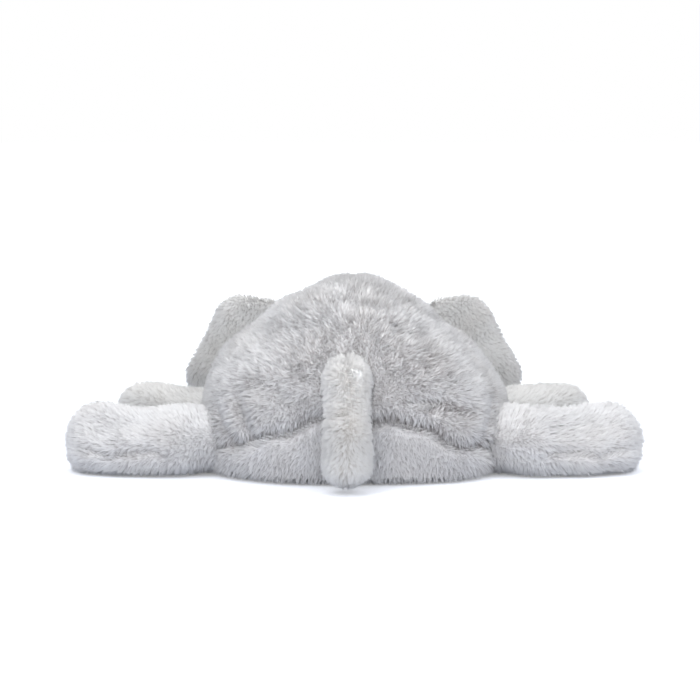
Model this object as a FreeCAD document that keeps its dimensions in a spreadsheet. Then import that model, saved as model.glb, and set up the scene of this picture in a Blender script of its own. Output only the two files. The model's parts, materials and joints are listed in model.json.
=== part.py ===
"""A stuffed elephant lying flat on its belly, with its legs spread on the floor.

It faces -Y and +X is its own left side.  The origin is on the flat of the belly, below the
widest part of the rump, and the floor is the plane Z = 0.  Sizes are in millimetres and degrees.

Every stuffed section is a sewn cover (fur fabric with its pile) around a filling.  A section is a
tapered capsule, two balls joined by a tangent cone, so each limb turns on the ball at its root and
stays one clearance away from the section that carries it, whatever way it is bent.
"""

import os

import FreeCAD
import Part
import Sketcher

DIMENSIONS = {
    # trunk of the body: a large ball at the rump and a smaller one at the chest, on one axis
    "axis_height": 22.0,
    "rump_radius": 106.5,
    "chest_radius": 80.0,
    "body_taper": 25.3,
    "belly_seam_height": 36.0,
    # cover, filling and joints
    "cover": 6.0,
    "ease": 0.3,
    "joint_gap": 0.4,
    # legs
    "hind_height": 22.0,
    "hind_root_radius": 21.5,
    "hind_foot_radius": 24.0,
    "hind_length": 52.5,
    "hind_bearing": 22.0,
    "hind_splay": 20.0,
    "front_height": 19.0,
    "front_root_radius": 18.5,
    "front_foot_radius": 20.5,
    "front_length": 66.0,
    "front_bearing": -28.0,
    "front_splay": 15.0,
    "leg_seam_height": 17.0,
    "wad_radius": 11.0,
    "foot_pouch_radius": 11.0,
    # head
    "neck_radius": 30.0,
    "neck_rise": 18.0,
    "head_radius": 50.0,
    "head_flat": 2.0,
    "head_taper": 49.5,
    "gusset_width": 34.0,
    "chin_seam_height": 20.0,
    # eyes
    "eye_radius": 6.0,
    "eye_bearing": 48.0,
    "eye_rise": 16.0,
    "eye_seat": 1.5,
    "stem_radius": 2.0,
    "stem_length": 9.0,
    "washer_radius": 8.0,
    "washer_thickness": 1.5,
    "washer_play": 0.05,
    # ears: a flat rounded outline, drawn round four corner circles
    "ear_edge_radius": 7.0,
    "ear_cover": 4.0,
    "ear_sweep": 8.0,
    "ear_root_corner": 12.0,
    "ear_root_top": 37.0,
    "ear_root_low": 16.0,
    "ear_top_corner": 24.0,
    "ear_top_out": 25.0,
    "ear_top_up": 28.0,
    "ear_low_corner": 20.0,
    "ear_low_out": 50.0,
    "ear_low_down": 12.0,
    # nose trunk, in two lengths that rest on the floor
    "nose_root_radius": 20.0,
    "nose_middle_radius": 17.5,
    "nose_end_radius": 14.0,
    "nose_base_length": 10.0,
    "nose_tip_length": 19.0,
    "nose_cover": 5.0,
    "nose_seam_height": 14.0,
    # tail, in two lengths that hang down the rump
    "tail_radius": 16.0,
    "tail_end_radius": 15.0,
    "tail_rise": 24.0,
    "tail_lean": 3.0,
    "tail_base_length": 8.0,
    "tail_tip_length": 18.0,
    "tail_cover": 5.0,
    # belly weight
    "pouch_radius": 42.0,
    "pouch_thickness": 16.0,
    "pouch_edge": 6.0,
    "pouch_lift": 4.0,
}
FAR = 600.0  # half the side of the boxes that stand for a half space
THROUGH = 20.0  # half the length of a rod that cuts a hole right through
ROUNDED = 0.98  # share of a plate's half thickness that its edge fillet takes
ROUGH_SPAN = 50.0  # sizes at which a sketch is first drawn, before its constraints set it
ROUGH_START = 20.0
ROUGH_END = 15.0

UP = FreeCAD.Vector(0, 0, 1)
QUARTER = FreeCAD.Units.Quantity("90 deg").getValueAs("rad").Value

doc = FreeCAD.newDocument("stuffed_elephant")
sheet = doc.addObject("Spreadsheet::Sheet", "Dims")
pieces = {}


def fill_sheet():
    for row, (alias, value) in enumerate(DIMENSIONS.items(), start=1):
        sheet.set(f"A{row}", alias)
        sheet.set(f"B{row}", str(value))
        sheet.setAlias(f"B{row}", alias)
    doc.recompute()


def d(alias):
    """The name by which an expression reads a cell."""
    return f"Dims.{alias}"


def bind(thing, **expressions):
    for prop, expression in expressions.items():
        thing.setExpression(prop, expression)
    return thing


def place(thing, x="0", y="0", z="0", turn="rotationz(0)"):
    thing.setExpression("Placement", f"placement(vector({x}; {y}; {z}); {turn})")
    return thing


def keep(name, thing):
    """Marks an object of the document as one finished piece."""
    thing.Label = name
    pieces[name] = thing
    return thing


# ---------------------------------------------------------------- shapes that repeat


def plane(body, role):
    return next(f for f in body.Origin.OriginFeatures if f.Role == role)


def point(x, y):
    return FreeCAD.Vector(x, y, 0)


def new_sketch(body, name):
    sketch = body.newObject("Sketcher::SketchObject", name)
    sketch.AttachmentSupport = [(plane(body, "XY_Plane"), "")]
    sketch.MapMode = "FlatFace"
    return sketch


def name_size(sketch, constraint, name, expression):
    sketch.renameConstraint(sketch.addConstraint(constraint), name)
    sketch.setExpression(f"Constraints.{name}", expression)


def capsule(name, start_radius, end_radius, span, **where):
    """Two balls joined by their tangent cone: the first at the local origin, the second on +X."""
    body = doc.addObject("PartDesign::Body", name)
    profile = new_sketch(body, name + "_profile")
    low = Part.Circle(point(0, 0), UP, ROUGH_START)
    high = Part.Circle(point(ROUGH_SPAN, 0), UP, ROUGH_END)
    first = profile.addGeometry(Part.ArcOfCircle(low, QUARTER, 2 * QUARTER))
    second = profile.addGeometry(Part.ArcOfCircle(high, 0, QUARTER))
    flank = Part.LineSegment(point(0, ROUGH_START), point(ROUGH_SPAN, ROUGH_END))
    side = profile.addGeometry(flank)
    middle = Part.LineSegment(point(-ROUGH_START, 0), point(ROUGH_SPAN + ROUGH_END, 0))
    axis = profile.addGeometry(middle)
    rule = Sketcher.Constraint
    profile.addConstraint(
        [
            rule("Coincident", first, 3, -1, 1),
            rule("PointOnObject", second, 3, -1),
            rule("Tangent", first, 1, side, 1),
            rule("Tangent", side, 2, second, 2),
            rule("Coincident", axis, 1, first, 2),
            rule("Coincident", axis, 2, second, 1),
            rule("PointOnObject", first, 2, -1),
            rule("PointOnObject", second, 1, -1),
        ]
    )
    name_size(profile, rule("Radius", first, ROUGH_START), "start_radius", start_radius)
    name_size(profile, rule("Radius", second, ROUGH_END), "end_radius", end_radius)
    name_size(profile, rule("DistanceX", -1, 1, second, 3, ROUGH_SPAN), "span", span)
    turned = body.newObject("PartDesign::Revolution", name + "_turned")
    turned.Profile = profile
    turned.ReferenceAxis = (profile, ["H_Axis"])
    turned.Angle = 360
    return place(body, **where)


def half_space(name, axis, side, at):
    """A box that stands for all space above (side +1) or below (side -1) the plane axis = at."""
    box = doc.addObject("Part::Box", name)
    box.Length = 2 * FAR
    box.Width = 2 * FAR
    box.Height = 2 * FAR
    start = dict(x=str(-FAR), y=str(-FAR), z=str(-FAR))
    start[axis] = at if side > 0 else f"{at} - {2 * FAR}"
    return place(box, **start)


def ball(name, radius, **where):
    return place(bind(doc.addObject("Part::Sphere", name), Radius=radius), **where)


def rod(name, radius, height, **where):
    made = bind(doc.addObject("Part::Cylinder", name), Radius=radius, Height=height)
    return place(made, **where)


def cut(name, base, tool):
    made = doc.addObject("Part::Cut", name)
    made.Base = base
    made.Tool = tool
    return made


def common(name, base, tool):
    made = doc.addObject("Part::Common", name)
    made.Base = base
    made.Tool = tool
    return made


def fuse(name, *parts):
    made = doc.addObject("Part::MultiFuse", name)
    made.Shapes = list(parts)
    return made


def section(name, start_radius, end_radius, span, cover, floor=None, **where):
    """The cover of one stuffed section as a closed shell, and the form of its filling."""
    outer = capsule(name + "_outer", start_radius, end_radius, span, **where)
    if floor is not None:
        outer = cut(name + "_flattened", outer, floor)
    hollow = capsule(name + "_hollow", f"{start_radius} - {cover}", f"{end_radius} - {cover}", span, **where)
    inside = f"{cover} - {d('ease')}"
    filling = capsule(
        name + "_filling", f"{start_radius} - {inside}", f"{end_radius} - {inside}", span, **where
    )
    return cut(name + "_cover", outer, hollow), filling


# ---------------------------------------------------------------- the body


def chest_reach():
    """How far the chest ball lies forward of the rump ball, from the taper between them."""
    return f"(({d('rump_radius')} - {d('chest_radius')}) / sin({d('body_taper')} * 1 deg))"


def build_body(floor):
    """Two back panels that meet along the spine, a belly panel, the filling and the belly weight."""
    along = dict(z=d("axis_height"), turn="rotationz(-90)")
    sizes = [d("rump_radius"), d("chest_radius")]

    def form(name, inset, ground):
        radii = [f"{size} - ({inset})" for size in sizes]
        full = capsule(name, *radii, chest_reach(), **along)
        return cut(name + "_flattened", full, ground)

    cover, ease = d("cover"), d("ease")
    hollow_floor = half_space("below_hollow", "z", -1, cover)
    filling_floor = half_space("below_filling", "z", -1, f"{cover} + {ease}")
    outer = form("body_outer", "0", floor)
    hollow = form("body_hollow", cover, hollow_floor)
    filling = form("body_filling", f"{cover} + {ease}", filling_floor)
    body_cover = cut("body_cover", outer, hollow)

    above = half_space("above_belly_seam", "z", 1, d("belly_seam_height"))
    below = half_space("below_belly_seam", "z", -1, d("belly_seam_height"))
    back = common("body_back", body_cover, above)
    keep("belly_panel", common("belly_panel_shape", body_cover, below))
    for side, sign in (("left", 1), ("right", -1)):
        half = half_space(f"{side}_of_spine", "x", sign, "0")
        keep(f"back_{side}_panel", common(f"back_{side}_shape", back, half))

    pouch = weight("belly_weight", "0")
    keep("belly_bean_pouch", pouch)
    nest = weight("belly_weight_nest", ease)
    keep("body_stuffing", cut("body_stuffing_shape", filling, nest))


def weight(name, grow):
    """The belly's bean pouch: a flat round bag with a soft edge, or its nest in the filling."""
    body = doc.addObject("PartDesign::Body", name)
    outline = new_sketch(body, name + "_outline")
    circle = outline.addGeometry(Part.Circle(point(0, 0), UP, ROUGH_SPAN))
    outline.addConstraint(Sketcher.Constraint("Coincident", circle, 3, -1, 1))
    radius = Sketcher.Constraint("Radius", circle, ROUGH_SPAN)
    name_size(outline, radius, "pouch_radius", f"{d('pouch_radius')} + {grow}")
    pad = body.newObject("PartDesign::Pad", name + "_pad")
    pad.Profile = outline
    pad.setExpression("Length", f"{d('pouch_thickness')} + 2 * {grow}")
    doc.recompute()
    soft = body.newObject("PartDesign::Fillet", name + "_edge")
    rims = [f"Edge{n}" for n, e in enumerate(pad.Shape.Edges, 1) if e.Curve.TypeId == "Part::GeomCircle"]
    soft.Base = (pad, rims)
    soft.setExpression("Radius", f"{d('pouch_edge')} + {grow}")
    return place(body, z=f"{d('cover')} + {d('pouch_lift')} - {grow}")


# ---------------------------------------------------------------- legs


def build_leg(name, kind, sign, centre_y, body_radius, floor, seams):
    """One leg: upper and under panels, filling, a wad at the hip and a bean pouch in the foot."""
    root, foot, length = (d(f"{kind}_{word}") for word in ("root_radius", "foot_radius", "length"))
    bearing, splay = d(f"{kind}_bearing"), d(f"{kind}_splay")
    height = d(f"{kind}_height")
    apart = f"({body_radius} + {d('joint_gap')} + {root})"
    reach = f"sqrt({apart}^2 - ({d('axis_height')} - {height})^2)"
    hip_x = f"{sign} * {reach} * cos({bearing} * 1 deg)"
    hip_y = f"{centre_y} + {reach} * sin({bearing} * 1 deg)"
    heading = f"-{splay}" if sign > 0 else f"180 + {splay}"
    where = dict(x=hip_x, y=hip_y, z=height, turn=f"rotationz({heading})")
    cover, filling = section(name, root, foot, length, d("cover"), floor, **where)
    keep(f"{name}_upper_panel", common(f"{name}_upper_shape", cover, seams[0]))
    keep(f"{name}_under_panel", common(f"{name}_under_shape", cover, seams[1]))

    ease = d("ease")
    hip = dict(x=hip_x, y=hip_y, z=height)
    keep(f"{name}_hip_wad", ball(f"{name}_wad", d("wad_radius"), **hip))
    wad_nest = ball(f"{name}_wad_nest", f"{d('wad_radius')} + {d('joint_gap')}", **hip)
    toe = dict(
        x=f"{hip_x} + {sign} * {length} * cos({splay} * 1 deg)",
        y=f"{hip_y} - {length} * sin({splay} * 1 deg)",
        z=height,
    )
    keep(f"{name}_bean_pouch", ball(f"{name}_pouch", d("foot_pouch_radius"), **toe))
    pouch_nest = ball(f"{name}_pouch_nest", f"{d('foot_pouch_radius')} + {ease}", **toe)
    nests = fuse(f"{name}_nests", wad_nest, pouch_nest)
    keep(f"{name}_stuffing", cut(f"{name}_stuffing_shape", filling, nests))


def build_legs(floor):
    seams = (
        half_space("above_leg_seam", "z", 1, d("leg_seam_height")),
        half_space("below_leg_seam", "z", -1, d("leg_seam_height")),
    )
    carriers = (
        ("hind", "0", d("rump_radius")),
        ("front", f"-{chest_reach()}", d("chest_radius")),
    )
    for kind, centre_y, body_radius in carriers:
        for side, sign in (("left", 1), ("right", -1)):
            build_leg(f"{kind}_{side}_leg", kind, sign, centre_y, body_radius, floor, seams)


# ---------------------------------------------------------------- head


def neck_place():
    """The middle of the neck joint, one clearance off the chest ball."""
    reach = f"({d('chest_radius')} + {d('joint_gap')} + {d('neck_radius')})"
    return dict(
        y=f"-{chest_reach()} - {reach} * cos({d('neck_rise')} * 1 deg)",
        z=f"{d('axis_height')} + {reach} * sin({d('neck_rise')} * 1 deg)",
    )


def head_span():
    """From the neck joint to the middle of the head, from the taper between their balls."""
    return f"(({d('head_radius')} - {d('neck_radius')}) / sin({d('head_taper')} * 1 deg))"


def head_place():
    """The middle of the head, pressed a little flat on the floor."""
    neck, height = neck_place(), f"({d('head_radius')} - {d('head_flat')})"
    drop = f"({neck['z']} - {height})"
    return dict(y=f"{neck['y']} - sqrt({head_span()}^2 - {drop}^2)", z=height)


def build_head(floor):
    """Side panels, a gusset from brow to nape, a chin panel, filling, neck wad and two eyes."""
    neck, head = neck_place(), head_place()
    tilt = f"asin(({neck['z']} - {head['z']}) / {head_span()})"
    where = dict(neck, turn=f"rotationz(-90) * rotationy({tilt})")
    cover, filling = section(
        "head", d("neck_radius"), d("head_radius"), head_span(), d("cover"), floor, **where
    )
    eyes = [build_eye(side, sign) for side, sign in (("left", 1), ("right", -1))]
    cover = cut("head_cover_pierced", cover, fuse("eye_holes", *(eye[0] for eye in eyes)))

    half = f"{d('gusset_width')} / 2"
    keep("head_left_panel", common("head_left", cover, half_space("left_cheek", "x", 1, half)))
    outside = half_space("right_cheek", "x", -1, f"-{half}")
    keep("head_right_panel", common("head_right", cover, outside))
    strip = doc.addObject("Part::Box", "gusset_strip")
    strip.Width = 2 * FAR
    strip.Height = 2 * FAR
    place(bind(strip, Length=d("gusset_width")), x=f"-{half}", y=str(-FAR), z=str(-FAR))
    middle = common("head_middle", cover, strip)
    chin = d("chin_seam_height")
    keep("head_gusset", common("head_top", middle, half_space("above_chin", "z", 1, chin)))
    keep("chin_panel", common("head_low", middle, half_space("below_chin", "z", -1, chin)))

    keep("neck_wad", ball("neck_core", d("wad_radius"), **neck))
    neck_nest = ball("neck_nest", f"{d('wad_radius')} + {d('joint_gap')}", **neck)
    nests = fuse("head_nests", neck_nest, *(eye[1] for eye in eyes))
    keep("head_stuffing", cut("head_stuffing_shape", filling, nests))


def build_eye(side, sign):
    """A domed eye on a stem and its lock washer.  Returns the hole in the cover and the nest inside."""
    head, ease = head_place(), d("ease")
    bearing, rise = d("eye_bearing"), d("eye_rise")
    turn = f"rotationz(-90 + {sign} * {bearing}) * rotationy(90 - {rise})"
    way = (
        f"{sign} * cos({rise} * 1 deg) * sin({bearing} * 1 deg)",
        f"-cos({rise} * 1 deg) * cos({bearing} * 1 deg)",
        f"sin({rise} * 1 deg)",
    )

    def out(distance):
        """A place on the eye's own axis, that far from the middle of the head."""
        x, y, z = (f"({distance}) * ({share})" for share in way)
        return dict(x=x, y=f"{head['y']} + {y}", z=f"{head['z']} + {z}", turn=turn)

    back = f"{d('head_radius')} - {d('eye_seat')}"
    stem_end = f"{back} - {d('stem_length')}"
    lining = f"({d('head_radius')} - {d('cover')})"
    washer_top = f"sqrt({lining}^2 - {d('washer_radius')}^2) - {ease}"
    washer_low = f"{washer_top} - {d('washer_thickness')}"

    dome = ball(f"{side}_dome", d("eye_radius"), **out(back))
    dome.Angle1 = 0
    stem = rod(f"{side}_stem", d("stem_radius"), d("stem_length"), **out(stem_end))
    keep(f"{side}_eye", fuse(f"{side}_eye_shape", dome, stem))
    disc = rod(f"{side}_disc", d("washer_radius"), d("washer_thickness"), **out(washer_low))
    bore_radius = f"{d('stem_radius')} + {d('washer_play')}"
    bore = rod(f"{side}_bore", bore_radius, f"2 * {THROUGH}", **out(f"{washer_low} - {THROUGH}"))
    keep(f"{side}_eye_washer", cut(f"{side}_washer_shape", disc, bore))

    across = f"{d('stem_radius')} + {ease}"
    seat = rod(f"{side}_seat", f"{d('eye_radius')} + {ease}", str(THROUGH), **out(back))
    passage = rod(f"{side}_passage", across, f"2 * {THROUGH}", **out(f"{back} - {THROUGH}"))
    hole = fuse(f"{side}_eye_hole", seat, passage)
    wide = f"{d('washer_radius')} + {ease}"
    room = rod(f"{side}_room", wide, str(THROUGH), **out(f"{washer_low} - {ease}"))
    well = rod(f"{side}_well", across, str(THROUGH), **out(f"{stem_end} - {ease}"))
    return hole, fuse(f"{side}_eye_nest", room, well)


# ---------------------------------------------------------------- ears


def ear_form(name, inset, **where):
    """A flat ear with a round edge, lying on the local XY plane with its hinge line on local Y."""
    edge = d("ear_edge_radius")
    root_x = f"{d('ear_root_corner')} - {edge}"
    corners = (  # radius, x and y of each corner circle, rough x and y, and where its arc starts
        ("ear_low_corner", d("ear_low_out"), f"-{d('ear_low_down')}", (50, -12), 3),
        ("ear_top_corner", d("ear_top_out"), d("ear_top_up"), (38, 30), 0),
        ("ear_root_corner", root_x, d("ear_root_top"), (3, 26), 1),
        ("ear_root_corner", root_x, f"-{d('ear_root_low')}", (3, -18), 2),
    )
    body = doc.addObject("PartDesign::Body", name)
    outline = new_sketch(body, name + "_outline")
    rule = Sketcher.Constraint
    arcs = []
    for _, _, _, rough, start in corners:
        circle = Part.Circle(point(*rough), UP, ROUGH_END)
        arc = Part.ArcOfCircle(circle, start * QUARTER, (start + 1) * QUARTER)
        arcs.append(outline.addGeometry(arc))
    for n, arc in enumerate(arcs):
        following = arcs[(n + 1) % len(arcs)]
        here = outline.Geometry[arc].EndPoint
        there = outline.Geometry[following].StartPoint
        edge_line = outline.addGeometry(Part.LineSegment(here, there))
        outline.addConstraint(rule("Tangent", arc, 2, edge_line, 1))
        outline.addConstraint(rule("Tangent", edge_line, 2, following, 1))
    for n, (arc, (corner, x, y, _, _)) in enumerate(zip(arcs, corners)):
        centre = outline.Geometry[arc].Center
        round_it = rule("Radius", arc, ROUGH_END)
        name_size(outline, round_it, f"corner_{n}", f"{d(corner)} - {inset}")
        across = rule("DistanceX", -1, 1, arc, 3, centre.x)
        name_size(outline, across, f"across_{n}", x)
        upwards = rule("DistanceY", -1, 1, arc, 3, centre.y)
        name_size(outline, upwards, f"upwards_{n}", y)
    pad = body.newObject("PartDesign::Pad", name + "_pad")
    pad.Profile = outline
    pad.SideType = "Symmetric"
    pad.setExpression("Length", f"2 * ({edge} - {inset})")
    doc.recompute()
    rounded = body.newObject("PartDesign::Fillet", name + "_edge")
    half = pad.Shape.BoundBox.ZLength / 2
    rims = [n for n, e in enumerate(pad.Shape.Edges, 1) if abs(abs(e.CenterOfMass.z) - half) < 1e-6]
    rounded.Base = (pad, [f"Edge{n}" for n in rims])
    rounded.setExpression("Radius", f"({edge} - {inset}) * {ROUNDED}")
    return place(body, **where)


def build_ears():
    """Each ear: a back panel of fur, a front panel, and thin batting between them."""
    head = head_place()
    reach = f"({d('head_radius')} + {d('joint_gap')} + {d('ear_edge_radius')})"
    for side, sign in (("left", 1), ("right", -1)):
        heading = d("ear_sweep") if sign > 0 else f"180 - {d('ear_sweep')}"
        turn = f"rotationz({heading}) * rotationx(90)"
        where = dict(head, x=f"{sign} * {reach}", turn=turn)
        name = f"{side}_ear"
        outer = ear_form(f"{name}_outer", "0", **where)
        hollow = ear_form(f"{name}_hollow", d("ear_cover"), **where)
        batting = ear_form(f"{name}_fill", f"({d('ear_cover')} + {d('ease')})", **where)
        cover = cut(f"{name}_cover", outer, hollow)
        spot = f"placement(vector({where['x']}; {where['y']}; {where['z']}); {turn})"
        faces = ("front", "back") if sign > 0 else ("back", "front")
        for face, low in zip(faces, (0.0, -FAR)):
            half = doc.addObject("Part::Box", f"{name}_{face}_half")
            half.Length = 2 * FAR
            half.Width = 2 * FAR
            half.Height = FAR
            shift = f"placement(vector(-{FAR}; -{FAR}; {low}); rotationz(0))"
            half.setExpression("Placement", f"{spot} * {shift}")
            keep(f"{name}_{face}_panel", common(f"{name}_{face}_shape", cover, half))
        keep(f"{name}_batting", batting)


# ---------------------------------------------------------------- nose trunk


def build_nose(floor):
    """The nose trunk in two lengths: the base swings from side to side and the tip curls up."""
    head = head_place()
    root, middle, end = d("nose_root_radius"), d("nose_middle_radius"), d("nose_end_radius")
    base_length, tip_length = d("nose_base_length"), d("nose_tip_length")
    gap = d("joint_gap")
    reach = f"({d('head_radius')} + {gap} + {root})"
    root_y = f"{head['y']} - sqrt({reach}^2 - ({head['z']} - {root})^2)"
    base_run = f"sqrt({base_length}^2 - ({root} - {middle})^2)"
    middle_y = f"{root_y} - {base_run} - 2 * {middle} - {gap}"
    seams = (
        half_space("above_nose_seam", "z", 1, d("nose_seam_height")),
        half_space("below_nose_seam", "z", -1, d("nose_seam_height")),
    )
    lengths = (
        ("nose_base", root, middle, base_length, root_y),
        ("nose_tip", middle, end, tip_length, middle_y),
    )
    for name, first, second, length, y in lengths:
        slope = f"asin(({first} - {second}) / {length})"
        where = dict(y=y, z=first, turn=f"rotationz(-90) * rotationy({slope})")
        cover, filling = section(name, first, second, length, d("nose_cover"), **where)
        keep(f"{name}_upper_panel", common(f"{name}_upper", cover, seams[0]))
        keep(f"{name}_under_panel", common(f"{name}_under", cover, seams[1]))
        keep(f"{name}_stuffing", filling)


# ---------------------------------------------------------------- tail


def build_tail():
    """The tail in two lengths: the base lies along the rump and the tip hangs almost straight."""
    radius, gap, rise, lean = d("tail_radius"), d("joint_gap"), d("tail_rise"), d("tail_lean")
    reach = f"({d('rump_radius')} + {gap} + {radius})"
    root_y = f"{reach} * cos({rise} * 1 deg)"
    root_z = f"{d('axis_height')} + {reach} * sin({rise} * 1 deg)"
    step = f"({d('tail_base_length')} + 2 * {radius} + {gap})"
    middle_y = f"{root_y} + {step} * sin({rise} * 1 deg)"
    middle_z = f"{root_z} - {step} * cos({rise} * 1 deg)"
    lengths = (
        ("tail_base", radius, d("tail_base_length"), root_y, root_z, rise),
        ("tail_tip", d("tail_end_radius"), d("tail_tip_length"), middle_y, middle_z, lean),
    )
    for name, end_radius, length, y, z, slope in lengths:
        where = dict(y=y, z=z, turn=f"rotationz(90) * rotationy(90 - {slope})")
        cover, filling = section(name, radius, end_radius, length, d("tail_cover"), **where)
        keep(f"{name}_cover", cover)
        keep(f"{name}_stuffing", filling)


# ---------------------------------------------------------------- checks and files


def check_document():
    for thing in doc.Objects:
        if {"Invalid", "Error"} & set(thing.State):
            raise RuntimeError(f"{thing.Name} failed: {thing.State}")
    for name, piece in pieces.items():
        shape = piece.Shape
        if shape.isNull() or not shape.isValid() or not shape.Solids or shape.Volume <= 0:
            raise RuntimeError(f"{name} has no sound solid")


def write_files():
    os.makedirs("parts", exist_ok=True)
    for name, piece in pieces.items():
        piece.Shape.exportStep(f"parts/{name}.step")
        box = piece.Shape.BoundBox
        size = " x ".join(f"{side:.1f}" for side in (box.XLength, box.YLength, box.ZLength))
        print(f"{name}: {len(piece.Shape.Solids)} solid, {size} mm, {piece.Shape.Volume / 1000:.1f} cm3")


fill_sheet()
ground = half_space("below_floor", "z", -1, "0")
build_body(ground)
build_legs(ground)
build_head(ground)
build_ears()
build_nose(ground)
build_tail()
doc.recompute()
check_document()
write_files()
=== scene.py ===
"""Looks of the stuffed elephant: every cover is a sewn panel with real pile, strand by strand.

Lengths are in millimetres inside this file and become metres where a mesh is made.
The elephant faces -Y, +X is its own left, and the floor is Z = 0.
"""

import json
import math

import bpy
import numpy as np
from mathutils import Euler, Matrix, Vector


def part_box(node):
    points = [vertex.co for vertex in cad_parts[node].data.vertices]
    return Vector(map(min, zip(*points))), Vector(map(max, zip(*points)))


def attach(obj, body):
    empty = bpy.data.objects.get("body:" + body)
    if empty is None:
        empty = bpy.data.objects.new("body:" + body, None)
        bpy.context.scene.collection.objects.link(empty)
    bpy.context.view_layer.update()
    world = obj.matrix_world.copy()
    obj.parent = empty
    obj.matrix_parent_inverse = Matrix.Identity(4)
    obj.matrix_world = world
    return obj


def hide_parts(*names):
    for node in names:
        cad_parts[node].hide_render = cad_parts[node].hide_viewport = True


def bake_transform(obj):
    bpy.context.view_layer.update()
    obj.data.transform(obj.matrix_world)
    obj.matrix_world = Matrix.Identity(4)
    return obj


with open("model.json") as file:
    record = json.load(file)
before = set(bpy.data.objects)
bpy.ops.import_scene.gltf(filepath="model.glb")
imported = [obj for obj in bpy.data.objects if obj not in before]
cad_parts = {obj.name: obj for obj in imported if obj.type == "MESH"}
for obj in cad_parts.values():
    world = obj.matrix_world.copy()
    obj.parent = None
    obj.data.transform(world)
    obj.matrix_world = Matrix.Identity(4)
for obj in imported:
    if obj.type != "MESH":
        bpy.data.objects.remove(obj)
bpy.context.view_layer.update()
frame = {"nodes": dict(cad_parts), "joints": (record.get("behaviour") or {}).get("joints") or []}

MM = 0.001
PILE = 6.6  # length of the body's pile
INSET = PILE - 1.0  # from a CAD cover's outside to the cloth that the pile stands on
TINY = 0.15  # radius of a form's first and last ring, so that its ends close without a doubled point
LYING = 2.5  # height of the cloth where a cover rests on the floor
INSIDE = 9.0  # height of the underside of the filling above it
UP = np.array([0.0, 0.0, 1.0])
JOINTS = {j["name"]: j for j in frame["joints"]}

# ---------------------------------------------------------------- small helpers


def pivot(joint):
    """Where a joint turns, in millimetres."""
    return np.array(JOINTS[joint]["pos_m"]) * 1000


def cad_box(node):
    low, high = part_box(node)
    return np.array(low) * 1000, np.array(high) * 1000


def unit(v):
    return v / np.maximum(np.linalg.norm(v, axis=-1, keepdims=True), 1e-9)


def smooth(x, low, high):
    t = np.clip((x - low) / (high - low), 0, 1)
    return t * t * (3 - 2 * t)


def bump(x, width):
    return np.exp(-((x / width) ** 2))


def hashed(cells, seed):
    """Three numbers from 0 to 1 for each whole-numbered cell, always the same for the same cell."""
    a = cells.astype(np.int64)
    n = (a[..., 0] * 73856093) ^ (a[..., 1] * 19349663) ^ (a[..., 2] * 83492791)
    n = n ^ (seed * 2654435761)
    out = []
    for k in range(3):
        n = (n ^ (n >> 15)) * 2246822519 & 0xFFFFFFFF
        n = (n ^ (n >> 13)) * 3266489917 & 0xFFFFFFFF
        n = n ^ (n >> 16)
        out.append((n & 0xFFFFFF) / float(0x1000000))
        n = n + 40503 * (k + 1)
    return np.stack(out, -1)


def noise(points, cell, seed):
    """Smooth noise from -1 to 1 with features about one cell across."""
    q = points / cell
    base = np.floor(q)
    f = q - base
    f = f * f * (3 - 2 * f)
    total = np.zeros(len(points))
    for corner in np.ndindex(2, 2, 2):
        c = np.array(corner)
        weight = np.prod(np.where(c == 1, f, 1 - f), axis=1)
        total += weight * hashed(base + c, seed)[:, 0]
    return total * 2 - 1


def tufts(points, cell, seed):
    """For each point the middle of its tuft, how far it is from the border, and the tuft's numbers."""
    base = np.floor(points / cell)
    best = np.full(len(points), 1e9)
    second = np.full(len(points), 1e9)
    centre = np.zeros_like(points)
    own = np.zeros_like(points)
    for shift in np.ndindex(3, 3, 3):
        cells = base + np.array(shift) - 1
        spot = (cells + hashed(cells, seed)) * cell
        gap = np.linalg.norm(points - spot, axis=1)
        nearer = gap < best
        second = np.where(nearer, best, np.minimum(second, gap))
        best = np.where(nearer, gap, best)
        centre[nearer] = spot[nearer]
        own[nearer] = cells[nearer]
    return centre, (second - best) / cell, hashed(own, seed + 17)


# ---------------------------------------------------------------- forms


def capsule_grid(start, end, r1, r2, rings, sides):
    """Rings of points on two balls joined by their cone.  Each ring starts at its underside."""
    along = end - start
    span = np.linalg.norm(along)
    axis = along / span
    side = unit(np.cross(axis, UP if abs(axis[2]) < 0.9 else np.array([0.0, 1.0, 0.0])))
    top = np.cross(side, axis)
    slope = math.asin(max(-0.95, min(0.95, (r1 - r2) / span)))
    quarter = math.pi / 2
    lengths = np.array([r1 * (quarter + slope), span * math.cos(slope), r2 * (quarter - slope)])
    s = np.linspace(0, lengths.sum(), rings)
    s[0], s[-1] = TINY, lengths.sum() - TINY
    a = np.clip(s / r1, 0, quarter + slope)
    x, rho = -r1 * np.cos(a), r1 * np.sin(a)
    cone = s > lengths[0]
    x = np.where(cone, r1 * math.sin(slope) + (s - lengths[0]) * math.cos(slope), x)
    rho = np.where(cone, r1 * math.cos(slope) - (s - lengths[0]) * math.sin(slope), rho)
    cap = s > lengths[0] + lengths[1]
    b = slope + (s - lengths[0] - lengths[1]) / r2
    x, rho = np.where(cap, span + r2 * np.sin(b), x), np.where(cap, r2 * np.cos(b), rho)
    turn = np.linspace(0, 2 * math.pi, sides, endpoint=False)
    ring = -np.cos(turn)[:, None] * top + np.sin(turn)[:, None] * side
    return start + x[:, None, None] * axis + rho[:, None, None] * ring[None]


def tube_grid(path, radii, sides, side=None):
    """Rings of the given radii round a path.  side is across it, where it isn't level."""
    axis = unit(np.gradient(path, axis=0))
    side = unit(np.cross(axis, UP)) if side is None else np.broadcast_to(side, path.shape)
    top = np.cross(side, axis)
    turn = np.linspace(0, 2 * math.pi, sides, endpoint=False)[None, :, None]
    ring = -np.cos(turn) * top[:, None] + np.sin(turn) * side[:, None]
    return path[:, None] + radii[:, None, None] * ring


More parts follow.
